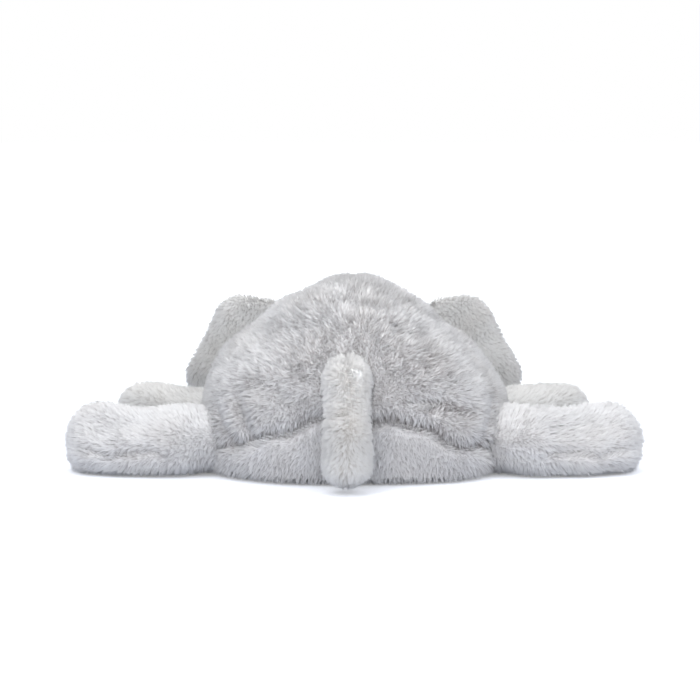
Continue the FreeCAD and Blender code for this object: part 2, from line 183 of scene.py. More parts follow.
def smooth_path(corners, step, soft):
    """Points every step along straight runs between corners, with the bends eased over soft steps."""
    runs = [np.linalg.norm(b - a) for a, b in zip(corners, corners[1:])]
    s = np.concatenate([[0], np.cumsum(runs)])
    at = np.arange(0, s[-1] + step / 2, step)
    path = np.stack([np.interp(at, s, np.array(corners)[:, k]) for k in range(3)], 1)
    reach = np.pad(path, ((soft, soft), (0, 0)), mode="reflect", reflect_type="odd")
    kernel = np.hanning(2 * soft + 3)[1:-1]
    kernel /= kernel.sum()
    return np.stack([np.convolve(reach[:, k], kernel, "valid") for k in range(3)], 1)


def round_ends(radii, s, first, last):
    """The radii of a tube whose ends are rounded over those lengths of it."""
    for gap, soft in ((s, first), (s[-1] - s, last)):
        ball = np.sqrt(np.clip(1 - (1 - gap / soft) ** 2, 0, 1))
        radii = np.where(gap < soft, radii * ball, radii)
    return np.maximum(radii, TINY)


def boxy(grid, a, b, middle, radius, power):
    """Squares off the lower half of a form that lies along a-b, as a soft thing spreads on a floor."""
    plan = grid[..., :2]
    start, along = a[:2], (b - a)[:2]
    t = np.clip(((plan - start) @ along) / (along @ along), 0, 1)
    foot = start + t[..., None] * along
    s = np.clip((middle - grid[..., 2]) / radius, 0, 0.985)
    spread = (1 - s**power) ** (1 / power) / np.sqrt(1 - s * s)
    grid[..., :2] = foot + (plan - foot) * spread[..., None]
    return grid


def grid_normals(grid):
    """Smooth outward normals of a grid that closes round each ring."""
    round_ = np.roll(grid, -1, 1) - np.roll(grid, 1, 1)
    along = np.gradient(grid, axis=0)
    return unit(np.cross(along, round_))


def push_out(grid, by):
    """The grid with each point moved out by its own length, or in where that is below 0."""
    normals = grid_normals(grid).reshape(-1, 3)
    return (grid.reshape(-1, 3) + normals * by[:, None]).reshape(grid.shape)


def flatten(points, height, soft=5.0):
    """Presses the underside flat at that height, with a soft edge."""
    z = points[..., 2] - height
    points[..., 2] = height + 0.5 * (z + np.sqrt(z * z + soft * soft))
    return points


def seam_split(grid, seams):
    """Triangles of a grid, each with the side of every seam that it is on.

    A seam is a function of points that is 0 on it.  Points beside it are slid onto it first, so
    that the panels' edges run true.  Returns points, triangles, uv and one label per triangle.
    """
    rings, sides = grid.shape[:2]
    points = grid.reshape(-1, 3).copy()
    index = np.arange(rings * sides).reshape(rings, sides)
    ahead, beside = index[1:], np.roll(index, -1, 1)
    edges = np.concatenate(
        [np.stack([index[:-1].ravel(), ahead.ravel()], 1), np.stack([index.ravel(), beside.ravel()], 1)]
    )
    a, b = index[:-1].ravel(), index[1:].ravel()
    d, c = beside[:-1].ravel(), beside[1:].ravel()
    first = np.ones(len(a), bool)
    for seam in seams:
        q = seam(points)
        cross = edges[q[edges[:, 0]] * q[edges[:, 1]] < 0]
        qa, qb = q[cross[:, 0]], q[cross[:, 1]]
        share = np.abs(qa) / (np.abs(qa) + np.abs(qb))
        moved = np.where(share < 0.5, cross[:, 0], cross[:, 1])
        other = np.where(share < 0.5, cross[:, 1], cross[:, 0])
        t = np.minimum(share, 1 - share)[:, None]
        points[moved] = points[moved] * (1 - t) + points[other] * t
        q[moved] = 0
        first &= ~(q[a] * q[c] < 0)
    one = np.where(first[:, None], np.stack([a, b, c], 1), np.stack([a, b, d], 1))
    two = np.where(first[:, None], np.stack([a, c, d], 1), np.stack([b, c, d], 1))
    triangles = np.concatenate([one, two])
    label = np.zeros(len(triangles), int)
    for n, seam in enumerate(seams):
        q = seam(points[triangles].mean(1))
        label |= (q > 0).astype(int) << n
    u = np.broadcast_to(np.linspace(0, 1, rings)[:, None], (rings, sides)).ravel()
    v = np.broadcast_to(np.arange(sides)[None] / sides, (rings, sides)).ravel()
    uv = np.stack([v, u], 1)[triangles]
    wrap = (uv[:, :, 0].max(1) - uv[:, :, 0].min(1) > 0.5)[:, None] & (uv[:, :, 0] < 0.5)
    uv[:, :, 0] = np.where(wrap, 1.0, uv[:, :, 0])
    return points, triangles, uv, label


# ---------------------------------------------------------------- pile

TUFT = 2.2  # across one tuft of pile
STRAND_SHARE = 0.85  # of the bake map's height, with the cloth in the rest
STRAND = np.array([(0, 1, 3), (1, 2, 3), (2, 0, 3)])  # the three sides of a slim spike
CLOTH_TONE = 0.45  # of the cloth between the strands


def grow(
    points, normals, flow, length, lean, seed, width=0.74, pull=0.5, wild=0.6, speckle=0.18, dark=0.0
):
    """Strands rooted at points: four corners each, with their tones and the normals they are shaded by.

    A tone runs from 0 at a dark root, painted shade deep in the pile, to 1 at a pale tip.  flow is
    the way the pile is combed, lean how far over it lies, in radians, pull how tightly its tufts gather
    and wild how much it strays.
    speckle is painted shade on the strands at the tufts' borders, and dark lowers the tone of chosen
    strands as painted shade, such as along a seam, in a fold or low down.
    """
    rng = np.random.default_rng(seed)
    count = len(points)
    tangent = unit(flow - (flow * normals).sum(1, keepdims=True) * normals)
    across = np.cross(normals, tangent)
    angle = wild * (0.9 * noise(points, 17, seed) + 0.8 * noise(points, 7, seed + 1))
    combed = tangent * np.cos(angle)[:, None] + across * np.sin(angle)[:, None]
    tilt = np.clip(lean + 0.32 * wild * noise(points, 9, seed + 2), 0.05, 1.45)
    way = normals * np.cos(tilt)[:, None] + combed * np.sin(tilt)[:, None]
    centre, border, own = tufts(points, TUFT, seed + 3)
    centre = centre - ((centre - points) * normals).sum(1, keepdims=True) * normals
    stray = (own - 0.5) * 0.75
    reach = length * (0.86 + 0.22 * rng.random(count)) * (0.9 + 0.2 * own[:, 0])
    reach = reach[:, None]
    loose = points + way * reach
    upright = (stray * normals).sum(1, keepdims=True) * normals
    gathered = centre + unit(way + stray - upright * 0.6) * reach
    grip = (pull * (0.75 + 0.5 * rng.random(count)))[:, None]
    tip = loose * (1 - grip) + gathered * grip + (rng.random((count, 3)) - 0.5) * 0.9
    axis = unit(tip - points)
    one = unit(np.cross(axis, rng.normal(size=(count, 3))))
    two = np.cross(axis, one)
    thick = (width * (0.75 + 0.5 * rng.random(count)))[:, None] / 2
    third = 2 * math.pi / 3
    turns = [math.cos(a) * one + math.sin(a) * two for a in (0, third, 2 * third)]
    corners = np.stack([points - normals * 0.4 + turn * thick for turn in turns] + [tip], 1)
    corners[..., 2] = np.maximum(corners[..., 2], 0.4 + 0.3 * rng.random((count, 1)))
    patch = 0.07 * noise(points, 30, seed + 5) + 0.05 * noise(points, 10, seed + 6)
    lit = 0.87 + patch + 0.14 * (own[:, 1] - 0.5) + 0.16 * (rng.random(count) - 0.5)
    # Painted shade: strands at the tufts' borders, where shade falls between tufts, and strands chosen
    # by dark are darkened.
    lit = np.clip(lit - speckle * (border < 0.16) - dark, 0, 1)
    # The roots are darker than the tips: painted shade deep in the pile.
    tone = np.stack([lit * 0.40, lit * 0.40, lit * 0.40, lit], 1)
    outward = np.stack([unit(normals * 0.80 + axis * 0.25 + turn * 0.45) for turn in turns], 1)
    facing = np.concatenate([outward, unit(normals * 0.85 + axis * 0.45)[:, None]], 1)
    return corners, tone, facing


def scatter(points, normals, triangles, count, seed):
    """Roots spread evenly over triangles, with their smooth normals."""
    rng = np.random.default_rng(seed)
    p = points[triangles]
    area = np.linalg.norm(np.cross(p[:, 1] - p[:, 0], p[:, 2] - p[:, 0]), axis=1) / 2
    total = np.cumsum(area)
    picks = np.searchsorted(total, (np.arange(count) + rng.random(count)) / count * total[-1])
    picks = np.minimum(picks, len(area) - 1)
    r = np.sqrt(rng.random(count))
    t = rng.random(count)
    w = np.stack([1 - r, r * (1 - t), r * t], 1)
    at = (p[picks] * w[..., None]).sum(1)
    return at, unit((normals[triangles[picks]] * w[..., None]).sum(1))


def mesh_piece(name, points, triangles, tone, facing, uv, material):
    """A mesh with its tone, the normals it is shaded by and its bake map."""
    mesh = bpy.data.meshes.new(name)
    mesh.vertices.add(len(points))
    mesh.vertices.foreach_set("co", (points * MM).astype(np.float32).ravel())
    mesh.loops.add(triangles.size)
    mesh.loops.foreach_set("vertex_index", triangles.astype(np.int32).ravel())
    mesh.polygons.add(len(triangles))
    mesh.polygons.foreach_set("loop_start", np.arange(0, triangles.size, 3, dtype=np.int32))
    mesh.update(calc_edges=True)
    layer = mesh.uv_layers.new(name="OFBake")
    layer.uv.foreach_set("vector", uv.astype(np.float32).ravel())
    shade = mesh.attributes.new("tone", "FLOAT", "POINT")
    shade.data.foreach_set("value", tone.astype(np.float32))
    mesh.shade_smooth()
    if facing is not None:
        mesh.normals_split_custom_set_from_vertices(facing.astype(np.float32))
    mesh.materials.append(material)
    obj = bpy.data.objects.new(name, mesh)
    bpy.context.scene.collection.objects.link(obj)
    return obj


def strand_uv(count):
    """Three slim triangles side by side in a small cell of the bake map for each strand."""
    cols = int(math.ceil(math.sqrt(count)))
    n = np.arange(count)
    corner = np.stack([n % cols, (n // cols) * STRAND_SHARE], 1) / cols
    size = np.array([1.0, STRAND_SHARE]) / cols
    slots = [((k + 0.04) / 3, (k + 0.96) / 3, (k + 0.5) / 3) for k in range(3)]
    cell = np.array([[(left, 0.06), (right, 0.06), (middle, 0.94)] for left, right, middle in slots])
    return corner[:, None] + cell.reshape(1, 9, 2) * size


def fur_piece(name, node, form, keep, material, groom, count, slot="grey_fur", cull=None, **pile):
    """A panel of a form, its cloth and its pile in one mesh, in place of a CAD cover."""
    points, triangles, uv, normals = form["points"], form["triangles"], form["uv"], form["normals"]
    chosen = triangles[keep]
    used, flat = np.unique(chosen, return_inverse=True)
    cloth, faces = points[used], flat.reshape(-1, 3)
    cloth_uv = uv[keep].copy()
    cloth_uv[..., 1] = STRAND_SHARE + 0.01 + cloth_uv[..., 1] * (0.99 - STRAND_SHARE - 0.01)
    seed = sum(ord(c) for c in name)
    roots, facing = scatter(points, normals, chosen, count, seed)
    if cull is not None:
        stay = ~cull(roots)
        roots, facing = roots[stay], facing[stay]
    flow, extra = groom(roots, facing)
    corners, tone, soft = grow(roots, facing, flow, seed=seed, **{"length": PILE, **pile, **extra})
    count = len(roots)
    strands = STRAND[None] + 4 * np.arange(count)[:, None, None] + len(cloth)
    obj = mesh_piece(
        name,
        np.concatenate([cloth, corners.reshape(-1, 3)]),
        np.concatenate([faces, strands.reshape(-1, 3)]),
        np.concatenate([np.full(len(cloth), CLOTH_TONE), tone.ravel()]),
        np.concatenate([normals[used], soft.reshape(-1, 3)]),
        np.concatenate([cloth_uv.reshape(-1, 2), strand_uv(count).reshape(-1, 2)]),
        material,
    )
    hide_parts(node)
    return obj


def blend(obj):
    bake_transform(obj)


def make_form(grid, seams=(), label=None):
    """A grid as triangles.  label gives each cell's panel where no seam function does."""
    points, triangles, uv, split = seam_split(grid, list(seams))
    label = split if label is None else np.concatenate([label.ravel()] * 2)
    normals = grid_normals(grid).reshape(-1, 3)
    return dict(points=points, triangles=triangles, uv=uv, label=label, normals=normals)


def inner_piece(name, grid, node, material, body, lumps=0.5):
    """A closed, lumpy form in place of a CAD solid: an eye, or something inside the covers."""
    rings, sides = grid.shape[:2]
    lumpy = push_out(grid, lumps * noise(grid.reshape(-1, 3), 9, 31))
    points, triangles, uv, _ = seam_split(lumpy, [])
    ends = np.array([grid[0].mean(0), grid[-1].mean(0)])
    j = np.arange(sides)
    k = np.roll(j, -1)
    rim = (rings - 1) * sides
    first = np.stack([np.full(sides, len(points)), j, k], 1)
    last = np.stack([np.full(sides, len(points) + 1), k + rim, j + rim], 1)
    cap_uv = np.zeros((sides, 3, 2))
    cap_uv[:, 1, 0], cap_uv[:, 2, 0], cap_uv[:, 0, 0] = j / sides, (j + 1) / sides, (j + 0.5) / sides
    top_uv = cap_uv[:, [0, 2, 1]] * [1, 0] + [0, 1]
    uv = np.concatenate([cap_uv, uv * [1, 0.96] + [0, 0.02], top_uv])
    uv[:sides, 1:, 1] = 0.02
    uv[-sides:, 1:, 1] = 0.98
    points = np.concatenate([points, ends])
    triangles = np.concatenate([first, triangles, last])
    tone = np.full(len(points), 0.8)
    obj = mesh_piece(name, points, triangles, tone, None, uv.reshape(-1, 2), material)
    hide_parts(node)
    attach(obj, body)
    return obj


def filling(part, grid):
    inner_piece(f"{part}_filling", grid, f"{part}_stuffing", FILLING, part)


def inside_capsule(start, end, radius):
    along = end - start

    def test(points):
        t = np.clip(((points - start) @ along) / (along @ along), 0, 1)
        return np.linalg.norm(points - (start + t[:, None] * along), axis=1) < radius

    return test


def any_of(*tests):
    return lambda points: np.any([t(points) for t in tests], axis=0)


# ---------------------------------------------------------------- materials


def node_material(name):
    made = bpy.data.materials.new(name)
    made.use_nodes = True
    tree = made.node_tree
    return made, tree, tree.nodes["Principled BSDF"]


def ramp(tree, source, stops):
    node = tree.nodes.new("ShaderNodeValToRGB")
    while len(node.color_ramp.elements) < len(stops):
        node.color_ramp.elements.new(0.5)
    for element, (at, colour) in zip(node.color_ramp.elements, stops):
        element.position = at
        element.color = (*colour, 1)
    tree.links.new(source, node.inputs[0])
    return node.outputs["Color"]


def pattern(tree, kind, scale, **inputs):
    coords = tree.nodes.new("ShaderNodeTexCoord")
    node = tree.nodes.new(kind)
    node.inputs["Scale"].default_value = scale
    for key, value in inputs.items():
        node.inputs[key].default_value = value
    tree.links.new(coords.outputs["Object"], node.inputs["Vector"])
    return node


def mix(tree, share, one, two, kind="MIX"):
    node = tree.nodes.new("ShaderNodeMix")
    node.data_type = "RGBA"
    node.blend_type = kind
    for socket, value in (("Factor", share), ("A", one), ("B", two)):
        target = next(i for i in node.inputs if i.name == socket and i.enabled)
        if isinstance(value, bpy.types.NodeSocket):
            tree.links.new(value, target)
        else:
            target.default_value = value if socket == "Factor" else (*value, 1)
    return next(o for o in node.outputs if o.enabled)


def add_bump(tree, shader, height, strength, distance):
    node = tree.nodes.new("ShaderNodeBump")
    node.inputs["Strength"].default_value = strength
    node.inputs["Distance"].default_value = distance
    tree.links.new(height, node.inputs["Height"])
    tree.links.new(node.outputs["Normal"], shader.inputs["Normal"])


def fur_material(name, root, middle, tip, warm):
    """Pile whose colour runs from a dark root, painted shade deep in the pile, to a pale tip, with
    cloudy patches of a warmer tint.
    """
    made, tree, shader = node_material(name)
    tone = tree.nodes.new("ShaderNodeAttribute")
    tone.attribute_name = "tone"
    colour = ramp(tree, tone.outputs["Fac"], ((0.15, root), (0.50, middle), (0.84, tip)))
    clouds = pattern(tree, "ShaderNodeTexNoise", 28, Detail=2.0)
    share = ramp(tree, clouds.outputs["Fac"], ((0.42, (0, 0, 0)), (0.68, (1, 1, 1))))
    tinted = mix(tree, 1.0, colour, warm, "MULTIPLY")
    tree.links.new(mix(tree, share, colour, tinted), shader.inputs["Base Color"])
    shader.inputs["Roughness"].default_value = 0.7
    shader.inputs["Specular IOR Level"].default_value = 0.15
    shader.inputs["Sheen Weight"].default_value = 0.2
    shader.inputs["Sheen Roughness"].default_value = 0.5
    return made


def cloth_material(name, pale, dark, scale, roughness, lumps):
    """Plain soft goods: fibres or weave in colour and in relief."""
    made, tree, shader = node_material(name)
    fibres = pattern(tree, "ShaderNodeTexNoise", scale, Detail=6.0, Roughness=0.65, Distortion=1.2)
    colour = ramp(tree, fibres.outputs["Fac"], ((0.30, dark), (0.62, pale)))
    tree.links.new(colour, shader.inputs["Base Color"])
    shader.inputs["Roughness"].default_value = roughness
    shader.inputs["Specular IOR Level"].default_value = 0.2
    add_bump(tree, shader, fibres.outputs["Fac"], 0.7, lumps)
    return made


def weave_material(name, warp, weft):
    """A plain weave of two threads."""
    made, tree, shader = node_material(name)
    threads = pattern(tree, "ShaderNodeTexWave", 420)
    threads.bands_direction = "X"
    across = pattern(tree, "ShaderNodeTexWave", 420)
    across.bands_direction = "Z"
    both = mix(tree, 0.5, threads.outputs["Color"], across.outputs["Color"])
    tree.links.new(ramp(tree, both, ((0.2, warp), (0.8, weft))), shader.inputs["Base Color"])
    shader.inputs["Roughness"].default_value = 0.85
    add_bump(tree, shader, both, 0.5, 0.0003)
    return made


def plastic_material(name, colour, worn, roughness, coat):
    """Moulded plastic, with faint clouds and a finely uneven polish."""
    made, tree, shader = node_material(name)
    clouds = pattern(tree, "ShaderNodeTexNoise", 160, Detail=3.0)
    tint = ramp(tree, clouds.outputs["Fac"], ((0.35, colour), (0.75, worn)))
    tree.links.new(tint, shader.inputs["Base Color"])
    rougher = min(1.0, roughness * 1.5)
    polish = ramp(tree, clouds.outputs["Fac"], ((0.3, (roughness,) * 3), (0.8, (rougher,) * 3)))
    tree.links.new(polish, shader.inputs["Roughness"])
    shader.inputs["Coat Weight"].default_value = coat
    shader.inputs["Coat Roughness"].default_value = 0.06
    shader.inputs["Specular IOR Level"].default_value = 0.3
    return made


WARM = (0.98, 0.97, 0.96)  # tint of the pile's cloudy patches
# Each pile's first colour, at its roots, is painted shade deep in the pile.
EAR_ROOT = (0.40, 0.38, 0.37)
GREY_FUR = fur_material(
    "silver_fur", (0.36, 0.335, 0.34), (0.85, 0.85, 0.862), (0.955, 0.96, 0.97), WARM
)
TAIL_FUR = fur_material(
    "tail_fur", (0.58, 0.55, 0.52), (0.93, 0.925, 0.915), (0.98, 0.98, 0.975), (0.99, 0.98, 0.97)
)
EAR_FUR = fur_material("ear_fur", EAR_ROOT, (0.88, 0.88, 0.872), (0.965, 0.965, 0.96), WARM)
FRONT_FUR = fur_material("front_leg_fur", EAR_ROOT, (0.80, 0.80, 0.79), (0.93, 0.93, 0.925), WARM)
FILLING = cloth_material("polyester_fibre", (0.88, 0.88, 0.87), (0.66, 0.66, 0.67), 180, 0.95, 0.0012)
FELT = cloth_material("packed_wad", (0.80, 0.79, 0.77), (0.56, 0.55, 0.54), 320, 0.95, 0.0006)
POUCH = weave_material("pouch_cloth", (0.62, 0.60, 0.55), (0.80, 0.78, 0.73))
BEAD = plastic_material("eye_bead", (0.010, 0.009, 0.009), (0.022, 0.018, 0.016), 0.12, 0.25)
NYLON = plastic_material("washer_nylon", (0.78, 0.78, 0.75), (0.70, 0.70, 0.66), 0.35, 0.0)


# ---------------------------------------------------------------- body

rump_high = cad_box("back_left_panel")[1]
RUMP = rump_high[0]  # radius of the body's ball at the rump
HEIGHT = rump_high[2] - RUMP  # of that ball's middle
CHEST = 80.0  # radius of its ball at the chest
NECK = pivot("head_turn")
TAIL_ROOT = pivot("tail_lift")
TAIL_BEND = pivot("tail_swing")
chest_y = cad_box("belly_panel")[0][1] + CHEST
rump_at = np.array([0.0, 0.0, HEIGHT + 0.9])
chest_at = np.array([0.0, chest_y, HEIGHT + 0.9])
LEGS = [f"{kind}_{side}_leg" for kind in ("hind", "front") for side in ("left", "right")]


def distance(points, a, b):
    along = b - a
    t = np.clip(((points - a) @ along) / (along @ along), 0, 1)
    return np.linalg.norm(points - (a + t[:, None] * along), axis=1)


def body_shape(grid):
    """Draws the shoulders of the dome in, more on the right, and leaves a ridge at the spine."""
    x, y, z = grid[..., 0], grid[..., 1], grid[..., 2]
    aside = np.abs(x)
    rise = smooth(z, 60, 118)
    z -= rise * 1.0 * bump(aside - 38, 19)
    left = 1 - 0.06 * smooth(z, 58, 95) - 0.09 * bump(z - 96, 13) - 0.17 * smooth(z, 106, 122)
    right = 1 - 0.07 * smooth(z, 48, 80) - 0.10 * smooth(z, 80, 102) - 0.07 * bump(z - 92, 13)
    right -= 0.10 * smooth(z, 102, 118)
    x *= np.where(x > 0, left, right)
    plan = np.hypot(x, y) + 1e-6
    square = 2.7
    fuller = ((aside / plan) ** square + (np.abs(y) / plan) ** square) ** (-1 / square)
    share = smooth(y, 0, 20) * (1 - smooth(z, 45, 95))
    grid[..., :2] *= (1 + (fuller - 1) * share)[..., None]
    return grid


def belly_seam(points):
    """The belly panel's seam: low at the flanks, and climbing towards the tail at the back."""
    x, y, z = points[..., 0], points[..., 1], points[..., 2]
    climb = smooth(y, 30, 95) * (1 - smooth(np.abs(x), 10, 95))
    wander = 1.6 * np.sin(x / 9.0) + 1.1 * np.sin(x / 4.1 + 1.0)
    return z - (21 + 24 * climb + wander * smooth(y, 20, 60))


def spine(points):
    return points[..., 0]


def leg_axis(leg):
    """The leg's hip, foot middle and foot radius."""
    hip = pivot(f"{leg}_sweep")
    low, high = cad_box(f"{leg}_bean_pouch")
    foot = (low + high) / 2
    return hip, foot, cad_box(f"{leg}_upper_panel")[1][2] - foot[2]


def creases():
    """Folds of the slack rump: start, end, depth and width."""
    back = RUMP * 0.8
    return (
        (np.array([84.0, back - 18, 72]), np.array([66.0, back, 30]), 4.4, 5.0),
        (np.array([54.0, back, 80]), np.array([46.0, back + 8, 56]), 3.0, 5.0),
        (np.array([22.0, RUMP - 16, 98]), np.array([19.0, RUMP, 46]), 3.4, 4.5),
        (np.array([3.0, RUMP - 34, 104]), np.array([3.0, RUMP - 22, 90]), 3.2, 3.5),
        (np.array([-74.0, back - 12, 44]), np.array([-40.0, back + 12, 56]), 3.0, 5.0),
        (np.array([-52.0, back, 84]), np.array([-62.0, back - 4, 66]), 2.4, 5.0),
        (np.array([-98.0, back - 36, 60]), np.array([-78.0, back - 14, 26]), 3.0, 6.0),
        (np.array([90.0, back - 26, 46]), np.array([74.0, back - 6, 22]), 2.4, 5.0),
    )


def build_body():
    grid = body_shape(capsule_grid(rump_at, chest_at, RUMP - INSET, CHEST - INSET, 100, 168))
    grid = flatten(grid, INSET * 0.45)
    flat = grid.reshape(-1, 3)
    groove = (2.4 + 2.8 * smooth(flat[:, 1], 20, 70)) * bump(belly_seam(flat), 4.0)
    groove *= smooth(flat[:, 2], 6, 14)
    groove += 1.4 * bump(spine(flat), 3.5) * smooth(flat[:, 2], 60, 100)
    for leg in LEGS:
        hip, foot, radius = leg_axis(leg)
        gap = np.abs(distance(flat, hip, foot) - radius)
        groove += 1.4 * bump(gap, 5.0) * smooth(flat[:, 2], 4, 14)
    for a, b, depth, wide in creases():
        groove += 1.9 * depth * bump(distance(flat, a, b), wide)
    swell = 1.9 * noise(flat, 38, 5) + 0.9 * noise(flat, 16, 6)
    form = make_form(flatten(push_out(grid, swell - groove), LYING, 2.0), (spine, belly_seam))
    legs = [inside_capsule(hip, foot, radius - PILE - 2) for hip, foot, radius in map(leg_axis, LEGS)]
    neck = inside_capsule(NECK, NECK + [0, -25, -8], 24)
    tail = inside_capsule(TAIL_ROOT, TAIL_BEND, 8)
    cull = any_of(*legs, neck, tail)

    def groom(roots, facing):
        """Combed down over the rump and back along the flanks, with painted shade along the belly seam,
        in the folds, near the floor and in a patch on the rump's right.
        """
        ahead = 1 - smooth(roots[:, 1], -20, 70)
        flow = np.array([0.0, 0.25, -1.0]) + ahead[:, None] * np.array([0.0, 1.0, 0.4])
        fold_shade = np.zeros(len(roots))
        for a, b, _, wide in creases():
            fold_shade = np.maximum(fold_shade, bump(distance(roots, a, b), wide * 0.7))
        low = smooth(-roots[:, 2], -26, -4)
        rump_patch_shade = bump(np.linalg.norm(roots - [-38, RUMP * 0.75, 78], axis=1), 38)
        seam = bump(belly_seam(roots), 2.6)
        # Painted shade: darker along the belly seam, in the rump's folds, near the floor and in a round
        # patch on the rump's right.
        return flow, dict(dark=0.44 * seam + 0.30 * fold_shade + 0.08 * low + 0.12 * rump_patch_shade)

    for side, label in (("left", 3), ("right", 2)):
        obj = fur_piece(
            f"back_{side}_fur", f"back_{side}_panel", form, form["label"] == label, GREY_FUR, groom,
            count=62000, cull=cull, lean=0.38, pull=0.6, wild=0.9, width=0.76, speckle=0.30,
        )
        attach(obj, "body")
    obj = fur_piece(
        "belly_fur", "belly_panel", form, form["label"] < 2, GREY_FUR, groom,
        count=50000, cull=cull, lean=0.6, pull=0.55, width=0.8,
    )
    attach(obj, "body")
    inner = body_shape(capsule_grid(rump_at, chest_at, RUMP - 18, CHEST - 24, 60, 80))
    filling("body", flatten(inner, INSIDE))
    pouch("belly_pouch", *cad_box("belly_bean_pouch"), "belly_bean_pouch", "body")


def pouch(name, low, high, node, body):
    """A flat round bag of beans, with a sewn rim."""
    middle, radius, half = (low + high) / 2, (high[0] - low[0]) / 2, (high[2] - low[2]) / 2
    t = np.linspace(0.02, math.pi - 0.02, 24)
    out = radius * np.sin(t) ** 0.6
    rise = -half * 0.92 * np.cos(t) * (0.55 + 0.45 * np.sin(t) ** 0.5)
    turn = np.linspace(0, 2 * math.pi, 48, endpoint=False)
    pucker = 1 + 0.025 * np.sin(9 * turn)
    grid = np.stack([out[:, None] * pucker * np.cos(turn), -out[:, None] * pucker * np.sin(turn)], -1)
    grid = np.concatenate([grid, np.broadcast_to(rise[:, None, None], grid.shape[:2] + (1,))], -1)
    return inner_piece(name, middle + grid[:, ::-1], node, POUCH, body)


def wad(name, at, radius, node, body):
    """A firm ball of packed filling at a joint."""
    step = np.array([0, 0, 0.5])
    grid = capsule_grid(at - step, at + step, radius - 0.9, radius - 0.9, 24, 32)
    inner_piece(name, grid, node, FELT, body)


# ---------------------------------------------------------------- legs


def build_leg(leg):
    """A tube from inside the body over the hip to the foot."""
    hip, foot, radius = leg_axis(leg)
    hind = leg.startswith("hind")
    way = unit(foot - hip)
    core = radius - INSET + 1.5
    inner_end = hip * [0.55, 0.62, 1.0] if hind else hip * [0.68, 0.95, 1.0]
    path = smooth_path([inner_end, hip, foot + way * core], 1.0, 12)
    radii = round_ends(np.full(len(path), core), np.arange(len(path)) * 1.0, 12, core)
    grid = boxy(tube_grid(path, radii, 96), hip - way * 30, foot, foot[2] + 2, core, 2.8)
    if hind:  # the heel spreads backward on the floor
        low = smooth(foot[2] + 14 - grid[..., 2], 0, 26)
        behind = smooth(grid[..., 1] - foot[1], -8, 24)
        outer = 0.35 + 0.65 * smooth((grid - hip) @ way, 0, 40)
        grid[..., 1] += 12.0 * low * behind * outer
    flat = grid.reshape(-1, 3)
    seam_height = foot[2] - 6

    def seam(points):
        along = (points - hip) @ way
        return points[..., 2] - seam_height - 1.5 * np.sin(along / 7.0) - 0.8 * np.sin(along / 3.1)

    def folded(points):
        """1 along the stretch where the seam lies in a fold."""
        along = (points - hip) @ way
        return smooth(along, -10, 4) * (1 - smooth(along, 44, 60))

    groove = 3.0 * bump(seam(flat), 3.2) * (0.35 + 0.65 * folded(flat))
    swell = 1.3 * noise(flat, 24, 11) + 0.6 * noise(flat, 11, 12)
    dip = 2.4 * bump(((flat - hip) @ way) - 24, 18) * smooth(flat[:, 2], foot[2], foot[2] + 14)
    form = make_form(flatten(push_out(grid, swell - groove - dip), LYING, 2.0), (seam,))

    def buried(points):
        ball = np.linalg.norm(points - rump_at, axis=1) < RUMP - PILE - 6
        return ball | (distance(points, rump_at, chest_at) < CHEST - PILE - 4)

    def groom(roots, facing):
        flow = np.broadcast_to(way, roots.shape) - UP * 0.45
        low = smooth(-roots[:, 2], -18, -2)
        # Painted shade: darker along the seam where it lies in a fold, and near the floor.
        return flow, dict(dark=0.26 * bump(seam(roots), 2.4) * folded(roots) + 0.05 * low)

    for part, label, count in (("upper", 1, 24000), ("under", 0, 18000)):
        obj = fur_piece(
            f"{leg}_{part}_fur", f"{leg}_{part}_panel", form, form["label"] == label,
            GREY_FUR if hind else FRONT_FUR, groom,
            count=count, cull=buried, length=PILE * 0.92, lean=0.6, pull=0.5,
        )
        blend(obj)
    inner = capsule_grid(hip + way * 14, foot, core - 6, core - 6, 40, 48)
    filling(leg, flatten(inner, INSIDE))
    low, high = cad_box(f"{leg}_bean_pouch")
    pouch(f"{leg}_pouch", low + 1.0, high - 1.0, f"{leg}_bean_pouch", leg)
    wad(f"{leg}_wad", hip, (high[0] - low[0]) / 2, f"{leg}_hip_wad", f"{leg}_hip")


# ---------------------------------------------------------------- head and trunk

HEAD_AT = pivot("left_ear_flap") * [0, 1, 1]  # the middle of the head
CROWN = cad_box("head_left_panel")[1][0]  # its radius
EYE_CLEAR = 6.6  # radius round an eye's middle where no pile grows
EYE_BEARING, EYE_RISE = math.radians(48), math.radians(16)  # aside of straight ahead, and up


def head_and_trunk():
    """The path and radii from the nape to the trunk's tip, and where the trunk's lengths begin."""
    root, bend = pivot("nose_swing"), pivot("nose_curl")
    tip = np.array([0.0, cad_box("nose_tip_upper_panel")[0][1], bend[2] - 3.5])
    nape = np.array([0.0, chest_y - CHEST + 22, HEAD_AT[2] - 2])
    path = smooth_path([nape, HEAD_AT, root, bend, tip], 1.0, 12)
    neck_run, face_run = np.linalg.norm(HEAD_AT - nape), np.linalg.norm(root - HEAD_AT)
    s = np.arange(len(path)) * 1.0
    ahead = s - neck_run
    sphere = np.sqrt(np.maximum((CROWN - INSET) ** 2 - ahead**2, 0))
    stops = [-30, 20, 46, face_run, face_run + 48, s[-1] - neck_run]
    core = np.interp(ahead, stops, [29.0, 33.0, 24.0, 17.0, 13.5, 9.5])
    joined = 0.5 * (sphere + core + np.sqrt((sphere - core) ** 2 + 9.0**2))
    near = smooth(np.abs(ahead), 2, 26)
    radii = round_ends(sphere * (1 - near) + joined * near, s, 8, 9)
    cut_root = int(round(neck_run + face_run - 12))
    cut_bend = int(round(neck_run + face_run + np.linalg.norm(bend - root) - 9))
    return path, radii, cut_root, cut_bend


def eye_places():
    boxes = [cad_box(f"{side}_eye") for side in ("left", "right")]
    return [(low + high) / 2 for low, high in boxes]


